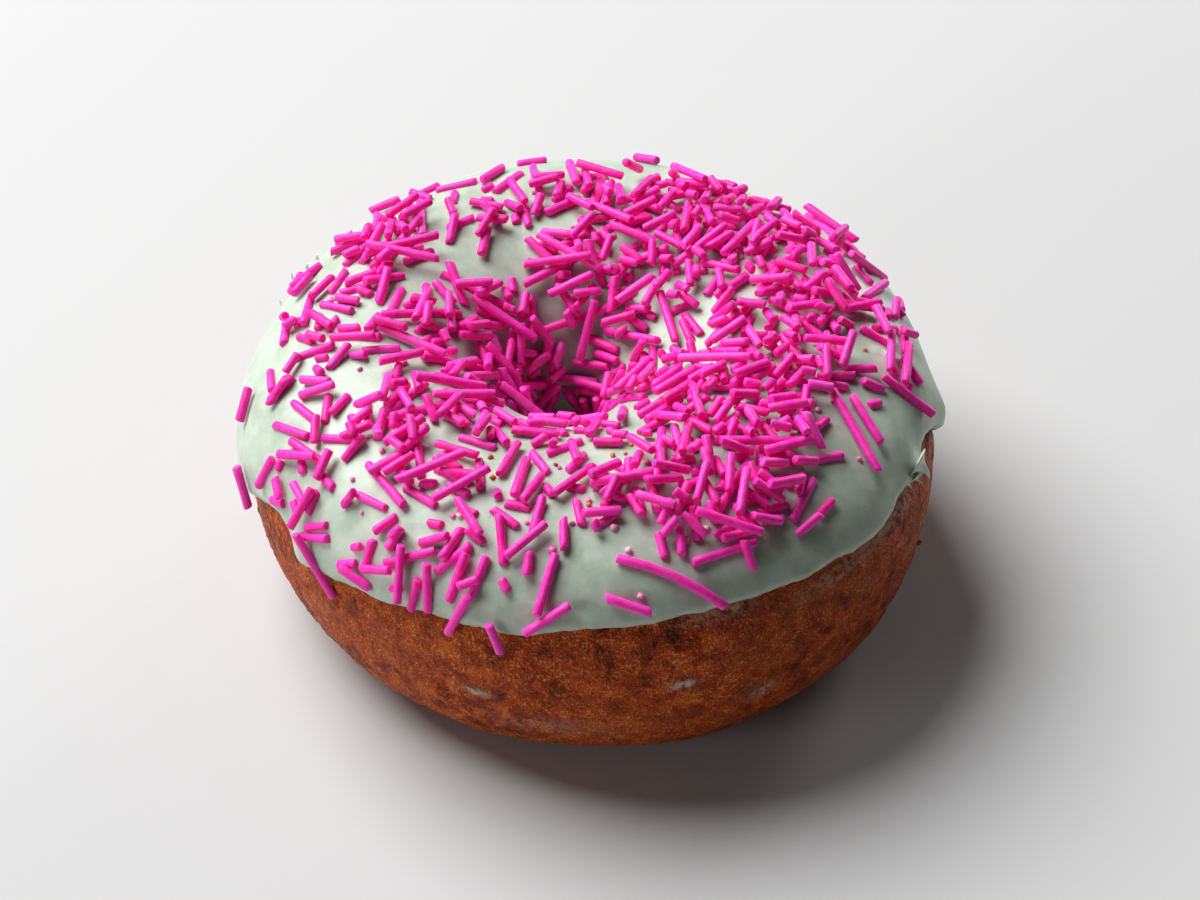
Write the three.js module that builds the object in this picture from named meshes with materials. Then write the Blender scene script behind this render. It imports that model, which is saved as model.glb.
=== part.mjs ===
// A ring doughnut: one fried ring of dough, a skin of set icing over its top, and sugar strands on the icing.
// Millimetres, +Z up. The origin is the middle of the underside, and -Y is the front.
//
// A place on the ring is an azimuth, round the ring from +X, and a section angle, round the ring's section:
// 0 degrees faces out, 90 faces up, and 180 faces into the hole.

import * as THREE from 'three';

// Driving dimensions of the dough
const DOUGH_DIAMETER = 92.8;
const CORE_RADIUS = 27;        // circle that the middle of the dough follows
const CORE_HEIGHT = 22;        // height of the widest part
const THROAT_RADIUS = 8.6;     // narrowest part of the hole
const CROWN_HEIGHT = 14.4;     // from the widest part to the top
const CROWN_POWER = 2.16;      // 2 is an ellipse, and more is squarer
const BELLY_DEPTH = 23.1;      // from the widest part down, before the underside is pressed flat
const BELLY_POWER = 2.8;
const OVAL = 0.022;            // how far the ring is out of round, as a share of its radius
const OVAL_AZIMUTH = 127;      // direction of the long axis, in degrees
const LOBE = 0.006;            // a slight three-sided swell
const LOBE_AZIMUTH = 41;
const HOLE_SHIFT = -4.3;       // the hole is off centre, along X
const RING_STEPS = 72;
const DOUGH_SECTION_STEPS = 28;

// Driving dimensions of the icing
const GAP = 0.35;              // between two pieces that touch
const ICING_CROWN = 1.4;       // thickness over the top
const ICING_EDGE = 0.75;       // thickness at its edges
const ICING_LIP = 0.3;         // thickness at the very tip of an edge
const EDGE_ROUNDING = 0.06;    // share of the icing's width in which the tip grows to the edge thickness
const HOLE_EDGE = 192;         // section angle where the icing ends inside the hole
const HOLE_EDGE_WAVE = 5;
const HOLE_EDGE_WAVES = 3;
const ICING_OUTER_STEPS = 18;
const ICING_INNER_STEPS = 14;

// Outer edge of the icing: azimuth and section angle, in degrees. It sags on the left, and in one short run
// beside that, and stands high at the front.
const ICING_BORDER = [
  [0, 10], [20, 14], [45, 12], [70, 17], [95, 12], [120, 16], [145, 9], [165, 1], [181, -9], [191, -7],
  [199, 7], [206, 12], [214, 4], [224, 9], [234, 12], [243, 16], [256, 16], [266, 20], [280, 22],
  [292, 23], [304, 20], [314, 19], [322, 16], [332, 20], [338, 17], [346, 19], [353, 11],
];

// Driving dimensions of the sugar strands
const STRAND_RADIUS = 0.72;
const STRAND_SIDES = 8;
const BENT_STEPS = 6;
const STRAND_CLEARANCE = 0.3;  // between one strand and the next
const STRAND_COUNT = 58;
const SHORTEST_STRAND = 3.2;
const LONGEST_STRAND = 6.4;
const STRAND_BORDER_MARGIN = 16;
const STRAND_INNER_LIMIT = 122;

// The strands that stand out: azimuth and section angle of the middle, heading, length, and how far the strand
// bends sideways and stands up. A heading is turned from round the ring towards the hole, in degrees.
const MARKED_STRANDS = [
  { at: [282, 35], heading: -31, length: 14, bend: 1.1 },
  { at: [275, 30], heading: -22, length: 6 },
  { at: [331, 50], heading: 56, length: 13 },
  { at: [335, 48], heading: 56, length: 7.5 },
  { at: [347, 35], heading: 88, length: 9 },
  { at: [262, 25], heading: 38, length: 7 },
  { at: [254, 16], heading: -65, length: 4.2 },
  { at: [225, 52], heading: -12, length: 8.5 },
  { at: [193, 3], heading: 118, length: 6 },
  { at: [77, 74], heading: 80, length: 7, stand: 38 },
  { at: [101, 69], heading: 88, length: 6.5 },
  { at: [132, 70], heading: 52, length: 9 },
  { at: [264, 56], heading: -82, length: 4 },
  { at: [258, 43], heading: -86, length: 3.2 },
  { at: [205, 40], heading: 15, length: 7 },
  { at: [300, 62], heading: 28, length: 10, bend: 0.5 },
  { at: [318, 78], heading: 74, length: 11, bend: 0.4 },
  { at: [60, 66], heading: 35, length: 10, bend: 0.5 },
  { at: [20, 58], heading: -40, length: 9 },
];

const radians = THREE.MathUtils.degToRad;

// The section of the dough, grown outwards by a distance: its radius from the ring's axis, and its height.
function sectionPoint(sectionAngle, growth) {
  const half = DOUGH_DIAMETER / 2;
  const across = Math.cos(sectionAngle);
  const up = Math.sin(sectionAngle);
  const width = across > 0 ? half - CORE_RADIUS : CORE_RADIUS - THROAT_RADIUS;
  const tall = up > 0 ? CROWN_HEIGHT : BELLY_DEPTH;
  const power = up > 0 ? CROWN_POWER : BELLY_POWER;
  const sum = Math.abs(across / width) ** power + Math.abs(up / tall) ** power;
  const reach = sum ** (-1 / power);
  const normal = new THREE.Vector2(
    Math.sign(across) * Math.abs(across / width) ** (power - 1) / width,
    Math.sign(up) * Math.abs(up / tall) ** (power - 1) / tall,
  ).normalize();
  return new THREE.Vector2(
    CORE_RADIUS + reach * across + growth * normal.x,
    CORE_HEIGHT + reach * up + growth * normal.y,
  );
}

// A point on the ring: the section turned to its azimuth, out of round, with the hole pushed to one side and
// the underside pressed flat.
function ringPoint(azimuth, sectionAngle, growth) {
  const section = sectionPoint(sectionAngle, growth);
  const oval = OVAL * Math.cos(2 * (azimuth - radians(OVAL_AZIMUTH)));
  const lobe = LOBE * Math.cos(3 * (azimuth - radians(LOBE_AZIMUTH)));
  const outwardness = Math.min(section.x / (DOUGH_DIAMETER / 2), 1);
  const radius = section.x * (1 + (oval + lobe) * outwardness);
  const inwardness = THREE.MathUtils.clamp((CORE_RADIUS - section.x) / (CORE_RADIUS - THROAT_RADIUS), 0, 1);
  return new THREE.Vector3(
    radius * Math.cos(azimuth) + HOLE_SHIFT * inwardness,
    radius * Math.sin(azimuth),
    Math.max(section.y, 0),
  );
}

// A closed ring whose section is worked out point by point: place(azimuth, share) is the point at a share,
// from 0 to 1, of the way round the section.
function ringGeometry(sectionSteps, place) {
  const geometry = new THREE.TorusGeometry(CORE_RADIUS, 1, sectionSteps, RING_STEPS);
  const position = geometry.getAttribute('position');
  const uv = geometry.getAttribute('uv');
  for (let i = 0; i < position.count; i += 1) {
    const azimuth = 2 * Math.PI * (uv.getX(i) % 1);
    const point = place(azimuth, uv.getY(i) % 1);
    position.setXYZ(i, point.x, point.y, point.z);
  }
  geometry.computeVertexNormals();
  return geometry;
}

function ringCake() {
  const geometry = ringGeometry(
    DOUGH_SECTION_STEPS,
    (azimuth, share) => ringPoint(azimuth, 2 * Math.PI * share, 0),
  );
  const crust = new THREE.MeshStandardMaterial({ color: 0x7c4220, roughness: 0.75, metalness: 0 });
  return named('ring_cake', new THREE.Mesh(geometry, crust));
}

// Section angle of the icing's outer edge, on a smooth line through ICING_BORDER that joins up round the ring.
const borderLine = (() => {
  const last = ICING_BORDER.at(-1);
  const first = ICING_BORDER[0];
  const second = ICING_BORDER[1];
  const loop = [[last[0] - 360, last[1]], ...ICING_BORDER, [first[0] + 360, first[1]], [second[0] + 360, second[1]]];
  const azimuths = loop.map((point) => point[0]);
  const angles = loop.map((point) => point[1]);
  return new THREE.CubicInterpolant(azimuths, angles, 1);
})();

function outerEdge(azimuth) {
  const degrees = THREE.MathUtils.euclideanModulo(THREE.MathUtils.radToDeg(azimuth), 360);
  return radians(borderLine.evaluate(degrees)[0]);
}

function holeEdge(azimuth) {
  return radians(HOLE_EDGE + HOLE_EDGE_WAVE * Math.sin(HOLE_EDGE_WAVES * azimuth));
}

// Thickness of the icing at a share, from 0 to 1, of its width: thin at both edges, with a rounded tip.
function icingThickness(share) {
  const fromEdge = Math.min(share, 1 - share);
  const tip = THREE.MathUtils.smoothstep(fromEdge, -EDGE_ROUNDING, EDGE_ROUNDING);
  const crown = THREE.MathUtils.smoothstep(fromEdge, 0, 0.35);
  const body = THREE.MathUtils.lerp(ICING_EDGE, ICING_CROWN, crown);
  return THREE.MathUtils.lerp(ICING_LIP, body, 2 * tip - 1);
}

// Distance from the dough to the icing's outer face at a section angle.
function icingGrowth(azimuth, sectionAngle) {
  const low = outerEdge(azimuth);
  const width = THREE.MathUtils.clamp((sectionAngle - low) / (holeEdge(azimuth) - low), 0, 1);
  return GAP + icingThickness(width);
}

// The icing's section runs up its outer face from the outer edge to the hole, and back along its inner face.
function icing() {
  const steps = ICING_OUTER_STEPS + ICING_INNER_STEPS;
  const turn = ICING_OUTER_STEPS / steps;
  const geometry = ringGeometry(steps, (azimuth, share) => {
    const outside = share <= turn;
    const width = outside ? share / turn : (1 - share) / (1 - turn);
    const angle = THREE.MathUtils.lerp(outerEdge(azimuth), holeEdge(azimuth), width);
    return ringPoint(azimuth, angle, outside ? icingGrowth(azimuth, angle) : GAP);
  });
  const mint = new THREE.MeshStandardMaterial({ color: 0xbed2be, roughness: 0.4, metalness: 0 });
  return named('icing', new THREE.Mesh(geometry, mint));
}

// A point on the icing's outer face, moved round the ring and towards the hole by distances along the surface.
function icingPoint([azimuth, sectionAngle], round, inward, lift) {
  const centre = ringPoint(radians(azimuth), radians(sectionAngle), 0);
  const ringRadius = Math.hypot(centre.x, centre.y);
  const sectionRadius = Math.hypot(ringRadius - CORE_RADIUS, centre.z - CORE_HEIGHT);
  const newAzimuth = radians(azimuth) + round / ringRadius;
  const newAngle = radians(sectionAngle) + inward / sectionRadius;
  return ringPoint(newAzimuth, newAngle, icingGrowth(newAzimuth, newAngle) + lift);
}

// The axes of a strand at its place on the icing: along it, across it, and away from the surface.
function surfaceFrame({ at, heading, stand = 0 }) {
  const nudge = 0.05;
  const centre = icingPoint(at, 0, 0, 0);
  const round = icingPoint(at, nudge, 0, 0).sub(centre).normalize();
  const inward = icingPoint(at, 0, nudge, 0).sub(centre).normalize();
  const out = new THREE.Vector3().crossVectors(round, inward).normalize();
  const along = round.clone().applyAxisAngle(out, radians(heading));
  const across = new THREE.Vector3().crossVectors(out, along);
  along.applyAxisAngle(across, -radians(stand));
  const away = new THREE.Vector3().crossVectors(along, across);
  return { centre, out, along, across, away };
}

// Points of the icing under a strand, from one end to the other. A bend carries them to one side.
function pointsUnder({ at, heading, length, bend = 0 }, lift) {
  const turn = radians(heading);
  return Array.from({ length: BENT_STEPS + 1 }, (_, i) => {
    const run = length * (i / BENT_STEPS - 0.5);
    const side = bend * (1 - (2 * run / length) ** 2);
    const round = run * Math.cos(turn) - side * Math.sin(turn);
    const inward = run * Math.sin(turn) + side * Math.cos(turn);
    return icingPoint(at, round, inward, lift);
  });
}

// Height of a straight strand's middle over the icing. It rests on the highest icing under it, and one that
// stands up clears the icing at its lower end.
function strandLift(strand, centre, out) {
  const { length, stand = 0 } = strand;
  if (stand > 0) {
    return GAP + STRAND_RADIUS + (length / 2 + STRAND_RADIUS) * Math.sin(radians(stand));
  }
  const heights = pointsUnder(strand, 0).map((point) => point.sub(centre).dot(out));
  return GAP + STRAND_RADIUS + Math.max(...heights);
}

// A straight strand is a line along its own X. A bent one follows the icing.
function strandPath(strand, toStrand) {
  if (strand.bend) {
    const points = pointsUnder(strand, GAP + STRAND_RADIUS);
    return new THREE.CatmullRomCurve3(points.map((point) => point.applyMatrix4(toStrand)));
  }
  const end = strand.length / 2;
  return new THREE.LineCurve3(new THREE.Vector3(-end, 0, 0), new THREE.Vector3(end, 0, 0));
}

function strandMesh(strand, name) {
  const { centre, out, along, across, away } = surfaceFrame(strand);
  const place = new THREE.Matrix4().makeBasis(along, across, away);
  place.setPosition(centre.addScaledVector(out, strandLift(strand, centre, out)));
  const corners = Array.from({ length: STRAND_SIDES }, (_, i) => new THREE.Vector2(STRAND_RADIUS, 0)
    .rotateAround(new THREE.Vector2(), 2 * Math.PI * i / STRAND_SIDES));
  const geometry = new THREE.ExtrudeGeometry(new THREE.Shape(corners), {
    extrudePath: strandPath(strand, place.clone().invert()),
    steps: strand.bend ? BENT_STEPS : 1,
  });
  const sugar = new THREE.MeshStandardMaterial({ color: 0xf01ea0, roughness: 0.45, metalness: 0 });
  const mesh = new THREE.Mesh(geometry, sugar);
  mesh.position.setFromMatrixPosition(place);
  mesh.quaternion.setFromRotationMatrix(place);
  return named(name, mesh);
}

// The rest of the strands are scattered evenly. Multiples of an irrational step fill a range without repeats.
function scatteredStrand(i) {
  const step = (rate) => (i * rate) % 1;
  const azimuth = 360 * step(0.7548777);
  const low = THREE.MathUtils.radToDeg(outerEdge(radians(azimuth))) + STRAND_BORDER_MARGIN;
  return {
    at: [azimuth, THREE.MathUtils.lerp(low, STRAND_INNER_LIMIT, step(0.5698403))],
    heading: 180 * step(0.3819660),
    length: THREE.MathUtils.lerp(SHORTEST_STRAND, LONGEST_STRAND, step(0.2360680)),
  };
}

// Spheres along a strand stand for it when its distance to another is tested.
function strandBeads(strand) {
  const { centre, along } = surfaceFrame(strand);
  const count = Math.ceil(strand.length / STRAND_RADIUS);
  return Array.from({ length: count + 1 }, (_, i) => centre.clone()
    .addScaledVector(along, strand.length * (i / count - 0.5)));
}

function touches(beads, others) {
  const reach = 2 * STRAND_RADIUS + STRAND_CLEARANCE + STRAND_RADIUS;
  return others.some((other) => other.some((a) => beads.some((b) => a.distanceTo(b) < reach)));
}

function allStrands() {
  const strands = [...MARKED_STRANDS];
  const laid = strands.map(strandBeads);
  for (let i = 1; strands.length < STRAND_COUNT; i += 1) {
    const strand = scatteredStrand(i);
    const beads = strandBeads(strand);
    if (!touches(beads, laid)) {
      strands.push(strand);
      laid.push(beads);
    }
  }
  return strands.map((strand, i) => strandMesh(strand, `sprinkle_${String(i + 1).padStart(2, '0')}`));
}

function named(name, mesh) {
  mesh.name = name;
  return mesh;
}

// The doughnut stands on its underside, with the middle of its outline at the origin.
const pieces = new THREE.Group();
pieces.add(ringCake(), icing(), ...allStrands());
pieces.updateMatrixWorld(true);
const outline = new THREE.Box3().setFromObject(pieces, true);
const middle = outline.getCenter(new THREE.Vector3());
pieces.position.set(-middle.x, -middle.y, -outline.min.z);

const doughnut = new THREE.Group();
doughnut.add(pieces);

export default doughnut;
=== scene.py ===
"""A ring doughnut: fried dough, a skin of set icing, sugar strands and crumbs, built on the frame.

A place on the ring is an azimuth, round the ring from +X, and a section angle, round the ring's section:
0 faces out, 90 faces up and 180 faces into the hole. Lengths are in metres and angles in radians, except in
the lists of places, which are in millimetres and degrees.
"""

import math
import random

import bmesh
import bpy
import numpy as np
from mathutils import Matrix, Vector, noise
from mathutils.bvhtree import BVHTree


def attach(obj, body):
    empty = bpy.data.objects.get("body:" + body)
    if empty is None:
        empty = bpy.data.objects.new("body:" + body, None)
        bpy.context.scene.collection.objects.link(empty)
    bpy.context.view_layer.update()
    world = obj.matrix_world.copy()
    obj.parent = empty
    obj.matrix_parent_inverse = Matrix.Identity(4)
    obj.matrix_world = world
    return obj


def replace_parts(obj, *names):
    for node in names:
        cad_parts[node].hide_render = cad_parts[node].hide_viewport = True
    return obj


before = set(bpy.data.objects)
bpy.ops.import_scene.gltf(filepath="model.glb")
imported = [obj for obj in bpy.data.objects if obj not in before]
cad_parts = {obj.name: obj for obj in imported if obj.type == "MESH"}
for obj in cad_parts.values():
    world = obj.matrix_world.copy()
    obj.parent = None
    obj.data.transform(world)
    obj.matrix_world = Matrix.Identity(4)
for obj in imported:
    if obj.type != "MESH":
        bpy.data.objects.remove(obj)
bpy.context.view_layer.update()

MM = 0.001
TURN = 2 * math.pi

# The circle that the middle of the dough follows, and a distance from it that is outside every surface.
CORE_RADIUS = 27 * MM
CORE_HEIGHT = 22 * MM
REACH = 27.5 * MM

# How finely the frame's surfaces are read, and how far each reading is evened out with its neighbours.
AZIMUTH_CELLS = 144
ANGLE_CELLS = 96
EVENING_PASSES = 3

# Dough
DOUGH_RING_STEPS = 760
DOUGH_SECTION_STEPS = 128
SHOWN_SHARE = 0.72
SHOWN_CRUST = (math.radians(-88), math.radians(32))
CRUST_SWELLS = [(13 * MM, 0.30 * MM), (5.5 * MM, 0.13 * MM)]
CRUST_GRAIN = [(2.3 * MM, 0.10 * MM), (1.2 * MM, 0.14 * MM), (0.75 * MM, 0.17 * MM)]
PIT_SPACING = 6.5 * MM
PIT_DEPTH = 0.42 * MM
PIT_SHARE = 0.30

# Icing
ICING_RING_STEPS = 760
ICING_OUTER_STEPS = 104
ICING_INNER_STEPS = 16
ICING_SWELL = 0.45 * MM       # extra thickness over the frame's icing, away from its outer edge, that the strands are set into
ICING_BED = 0.22 * MM         # how far its inner face sinks into the dough
HOLE_RUN = math.radians(8)    # how much further it runs into the hole than the frame's
LIP_WIDTH = 1.3 * MM
EDGE_DISTANCE = CORE_RADIUS * 0.72    # roughly, from the core circle to the icing's edges
CROWDING = 0.78                       # how strongly its rows crowd towards both edges
BORDER_WAVES = [(7, 0.55 * MM), (19, 0.28 * MM), (46, 0.12 * MM)]
ICING_SWELLS = [(9 * MM, 0.16 * MM), (3.6 * MM, 0.045 * MM)]

# Sugar strands
STRAND_RADIUS = 0.61 * MM
STRAND_SIDES = 8
FRAME_STRAND_SIDES = 8
STRAND_SINK = 0.45 * MM
BEAD_STEP = 0.7 * MM
TRIES = 6
HIGHEST = 4.5 * STRAND_RADIUS         # a strand that would lie higher, or steeper, isn't laid
STEEPEST_ON_TOP = 0.6
STEEPEST_IN_HOLE = 1.3
HOLE_FROM = 2.1
NESTING = 0.96                        # the share of its full clearance that a strand keeps above another
SLOPE_COST = 0.4                      # how much a slope counts against a strand's height
LIFT = 6 * MM


def smoothstep(low, high, value):
    share = np.clip((value - low) / (high - low), 0, 1)
    return share * share * (3 - 2 * share)


# The frame's surfaces, read round the ring --------------------------------------------------------------


def tree_of(node):
    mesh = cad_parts[node].data
    corners = [vertex.co.copy() for vertex in mesh.vertices]
    faces = [tuple(face.vertices) for face in mesh.polygons]
    return BVHTree.FromPolygons(corners, faces)


DOUGH_TREE = tree_of("ring_cake")
ICING_TREE = tree_of("icing")
RING_CENTRE = Vector((0.78, 0.24, 0)) * MM


def out_of_core(azimuth, angle):
    return Vector((
        math.cos(azimuth) * math.cos(angle),
        math.sin(azimuth) * math.cos(angle),
        math.sin(angle),
    ))


def core_point(azimuth):
    return Vector((
        RING_CENTRE.x + CORE_RADIUS * math.cos(azimuth),
        RING_CENTRE.y + CORE_RADIUS * math.sin(azimuth),
        CORE_HEIGHT,
    ))


def face_distance(tree, azimuth, angle):
    """Distance from the core circle to the outer face of a surface, or None where it has none."""
    out = out_of_core(azimuth, angle)
    start = core_point(azimuth) + out * REACH
    found = tree.ray_cast(start, -out, REACH)
    return None if found[0] is None else REACH - found[3]


def evened(grid, passes):
    """Each value averaged with its neighbours, on a grid that joins up at its ends."""
    for _ in range(passes):
        for axis in range(grid.ndim):
            around = np.roll(grid, 1, axis) + np.roll(grid, -1, axis)
            grid = grid / 2 + around / 4
    return grid


def curve_weights(share):
    """Weights of four neighbouring values for a smooth curve through the middle two."""
    s2, s3 = share ** 2, share ** 3
    return [
        (-s3 + 2 * s2 - share) / 2,
        (3 * s3 - 5 * s2 + 2) / 2,
        (-3 * s3 + 4 * s2 + share) / 2,
        (s3 - s2) / 2,
    ]


def read_round(values, azimuth):
    """A smooth reading of values given at even steps round the ring."""
    place = azimuth / TURN * len(values)
    first = np.floor(place).astype(int)
    weights = curve_weights(place - first)
    return sum(w * values[(first + k - 1) % len(values)] for k, w in enumerate(weights))


def read_grid(grid, azimuth, angle):
    """A smooth reading of a grid given at even steps of azimuth and section angle."""
    rows, columns = grid.shape
    u, v = azimuth / TURN * rows, angle / TURN * columns
    i, j = np.floor(u).astype(int), np.floor(v).astype(int)
    row_weights, column_weights = curve_weights(u - i), curve_weights(v - j)
    total = 0
    for a, wa in enumerate(row_weights):
        for b, wb in enumerate(column_weights):
            total = total + wa * wb * grid[(i + a - 1) % rows, (j + b - 1) % columns]
    return total


def edge_angle(azimuth, bare, covered):
    """Section angle of the icing's edge, between an angle that is bare and one that is covered."""
    for _ in range(12):
        middle = (bare + covered) / 2
        if face_distance(ICING_TREE, azimuth, middle) is None:
            bare = middle
        else:
            covered = middle
    return covered


azimuths = [TURN * i / AZIMUTH_CELLS for i in range(AZIMUTH_CELLS)]
angles = [TURN * j / ANGLE_CELLS for j in range(ANGLE_CELLS)]
dough_reading = np.array([[face_distance(DOUGH_TREE, a, v) for v in angles] for a in azimuths])
DOUGH_GRID = evened(dough_reading, EVENING_PASSES)
outer_reading = np.array([edge_angle(a, math.radians(-40), math.radians(70)) for a in azimuths])
hole_reading = np.array([edge_angle(a, math.radians(235), math.radians(140)) for a in azimuths])
OUTER_EDGE = evened(outer_reading, 1)
HOLE_EDGE = evened(hole_reading, 1)


def icing_profile():
    """The frame's thickness of icing at even shares of its width, averaged round the ring."""
    shares = np.linspace(0.04, 0.96, 24)
    profile = []
    for share in shares:
        found = []
        for azimuth, low, high in list(zip(azimuths, OUTER_EDGE, HOLE_EDGE))[::4]:
            angle = low + share * (high - low)
            distance = face_distance(ICING_TREE, azimuth, angle)
            if distance is not None:
                found.append(distance - read_grid(DOUGH_GRID, np.array(azimuth), np.array(angle)))
        profile.append(float(np.mean(found)))
    return shares, np.array(profile)


PROFILE_SHARES, PROFILE = icing_profile()


def ring_points(azimuth, angle, distance):
    """Points at a distance from the core circle, as an array of rows."""
    radius = CORE_RADIUS + distance * np.cos(angle)
    return np.stack([
        RING_CENTRE.x + radius * np.cos(azimuth),
        RING_CENTRE.y + radius * np.sin(azimuth),
        CORE_HEIGHT + distance * np.sin(angle),
    ], axis=-1)


def swells(points, scales, seed):
    """Soft noise at each point: a sum of sizes and heights."""
    total = np.zeros(len(points))
    for k, (size, height) in enumerate(scales):
        shift = Vector((seed * 7.3 + k * 3.1, seed * 1.7, k * 5.9))
        total += height * np.array([noise.noise(Vector(p) / size + shift) for p in points.tolist()])
    return total


def waves_round(azimuth, waves, seed):
    """Soft noise round the ring that joins up with itself."""
    total = np.zeros(len(azimuth))
    for k, (rate, height) in enumerate(waves):
        across, up = rate * np.cos(azimuth), rate * np.sin(azimuth)
        lift = seed * 4.7 + k * 9.1
        total += height * np.array([noise.noise(Vector((x, y, lift))) for x, y in zip(across, up)])
    return total


# Meshes ---------------------------------------------------------------------------------------------------


def new_piece(name, mesh, material):
    piece = bpy.data.objects.new(name, mesh)
    bpy.context.scene.collection.objects.link(piece)
    mesh.materials.append(material)
    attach(piece, "root")
    return piece


def mesh_from(bm, name):
    for face in bm.faces:
        face.smooth = True
    mesh = bpy.data.meshes.new(name)
    bm.to_mesh(mesh)
    bm.free()
    return mesh


def corners_of(mesh):
    flat = np.zeros(len(mesh.vertices) * 3)
    mesh.vertices.foreach_get("co", flat)
    return flat.reshape(-1, 3)


def set_corners(mesh, points):
    mesh.vertices.foreach_set("co", np.asarray(points).ravel())
    mesh.update()


def set_shares(mesh, name, values):
    layer = mesh.attributes.new(name, "FLOAT", "POINT")
    layer.data.foreach_set("value", np.asarray(values, dtype=np.float32))


def plain_ring(name, section_steps, ring_steps):
    """A round ring, with the azimuth of each corner and its step of the way round the section."""
    bm = bmesh.new()
    bmesh.ops.create_grid(bm, x_segments=ring_steps, y_segments=section_steps, size=1.0)
    for corner in bm.verts:
        azimuth, angle = math.pi * corner.co.x, math.pi * corner.co.y
        radius = 3 + math.cos(angle)
        corner.co = (radius * math.cos(azimuth), radius * math.sin(azimuth), math.sin(angle))
    bmesh.ops.remove_doubles(bm, verts=bm.verts, dist=0.0001)
    bmesh.ops.recalc_face_normals(bm, faces=bm.faces)
    mesh = mesh_from(bm, name)
    x, y, z = corners_of(mesh).T
    azimuth = np.arctan2(y, x) % TURN
    share = (np.arctan2(z, np.hypot(x, y) - 3) / TURN) % 1
    step = np.round(share * section_steps).astype(int) % section_steps
    return mesh, azimuth, step


# Dough ----------------------------------------------------------------------------------------------------


# Where the baked ring is fuller or leaner: azimuth, section angle, half width and half height in degrees, and
# the change.
RING_SHAPING = [
    (153, 18, 17, 22, -1.15),
    (62, 34, 13, 20, -0.7),
    (108, 40, 12, 20, 0.5),
    (337, 2, 9, 16, 0.4),
]


def dough_at(a, v):
    """Distance from the core circle to the dough at one place."""
    return read_grid(DOUGH_GRID, np.array(a), np.array(v % TURN))


def shaping(azimuth, angle):
    total = np.zeros(len(azimuth))
    for centre, middle, half_width, half_height, change in RING_SHAPING:
        across = ((np.degrees(azimuth) - centre + 180) % 360 - 180) / half_width
        along = ((np.degrees(angle) - middle + 180) % 360 - 180) / half_height
        total += change * MM * np.exp(-across ** 2 - along ** 2)
    return total


def crust_swell(azimuth, angle):
    """Distance from the core circle to the dough, with its broad swells."""
    distance = read_grid(DOUGH_GRID, azimuth, angle % TURN) + shaping(azimuth, angle)
    points = ring_points(azimuth, angle, distance)
    return distance + swells(points, CRUST_SWELLS, 1), points


def pits(points):
    """Depth of the small pits at each point: some of the cells of a loose packing hold one."""
    depth = np.zeros(len(points))
    for i, p in enumerate(points.tolist()):
        place = Vector(p) / PIT_SPACING
        distances, centres = noise.voronoi(place)
        lot = noise.cell(centres[0] * 13.7)
        if lot < PIT_SHARE:
            size = 0.10 + 0.13 * lot / PIT_SHARE
            depth[i] = max(0.0, 1 - (distances[0] / size) ** 2) * (0.5 + lot / PIT_SHARE / 2)
    return depth * PIT_DEPTH


# Icing rubbed thinly onto the crust: azimuth, section angle, half width, half height, strength.
SMEARS = [
    (250, -17, 1.9, 0.5, 1.4),
    (283, -8, 1.5, 0.7, 1.3),
    (296, -22, 2.0, 1.0, 0.7),
    (328, 15, 7.0, 1.5, 0.7),
    (312, 14, 7.0, 1.0, 0.5),
    (290, 20, 5.0, 1.0, 0.6),
    (262, -30, 7.0, 2.0, 0.25),
    (40, 2, 7.0, 1.2, 0.3),
]


def smears(points):
    """How much icing is rubbed onto the crust at each point."""
    total = np.zeros(len(points))
    for azimuth, angle, half_width, half_height, strength in SMEARS:
        a, v = math.radians(azimuth), math.radians(angle)
        centre = ring_points(np.array(a), np.array(v), dough_at(a, v))
        away = points - centre
        across = (away[:, 1] * math.cos(a) - away[:, 0] * math.sin(a)) / (half_width * MM)
        out = away[:, 0] * math.cos(a) + away[:, 1] * math.sin(a)
        along = np.hypot(away[:, 2], out) / (half_height * MM)
        total += strength * np.exp(-across ** 2 - along ** 2)
    return np.clip(total, 0, 1)


def make_dough(material):
    mesh, azimuth, step = plain_ring("dough", DOUGH_SECTION_STEPS, DOUGH_RING_STEPS)
    # Most of the steps are on the outer side below the icing, where the crust shows.
    share = step / DOUGH_SECTION_STEPS
    shown_from, shown_to = SHOWN_CRUST
    angle = np.where(
        share < SHOWN_SHARE,
        shown_from + (shown_to - shown_from) * share / SHOWN_SHARE,
        shown_to + (TURN - (shown_to - shown_from)) * (share - SHOWN_SHARE) / (1 - SHOWN_SHARE),
    )
    distance, points = crust_swell(azimuth, angle)
    distance += swells(points, CRUST_GRAIN, 2) - pits(points)
    points = ring_points(azimuth, angle, distance)
    points[:, 2] = np.maximum(points[:, 2], 0)
    set_corners(mesh, points)
    set_shares(mesh, "smear", smears(points))
    piece = new_piece("fried_dough", mesh, material)
    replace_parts(piece, "ring_cake")
    return piece


# Icing ----------------------------------------------------------------------------------------------------

# Where the icing stands proud: azimuth, section angle, half width, height, drop.
ICING_LUMPS = [
    (355, 11, 3.2, 0.75, 0.3),
    (350, 30, 6.0, 0.5, 0.3),
    (337.5, 20, 1.9, 0.7, 0.3),
    (214, 6, 3.0, 0.5, 0.4),
    (186, -3, 6.0, 0.4, 0.3),
]

# Where the icing runs further down: azimuth, half width in degrees, distance.
ICING_RUNS = [(355.5, 5.0, 3.2), (337, 2.2, 1.0), (214, 4, 0.8), (24, 7, 1.4), (76, 6, 1.8), (128, 5, 1.2)]


def icing_run(azimuth):
    total = np.zeros(len(azimuth))
    for centre, half, length in ICING_RUNS:
        away = (np.degrees(azimuth) - centre + 180) % 360 - 180
        total += length * MM * np.exp(-(away / half) ** 2)
    return total


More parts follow.
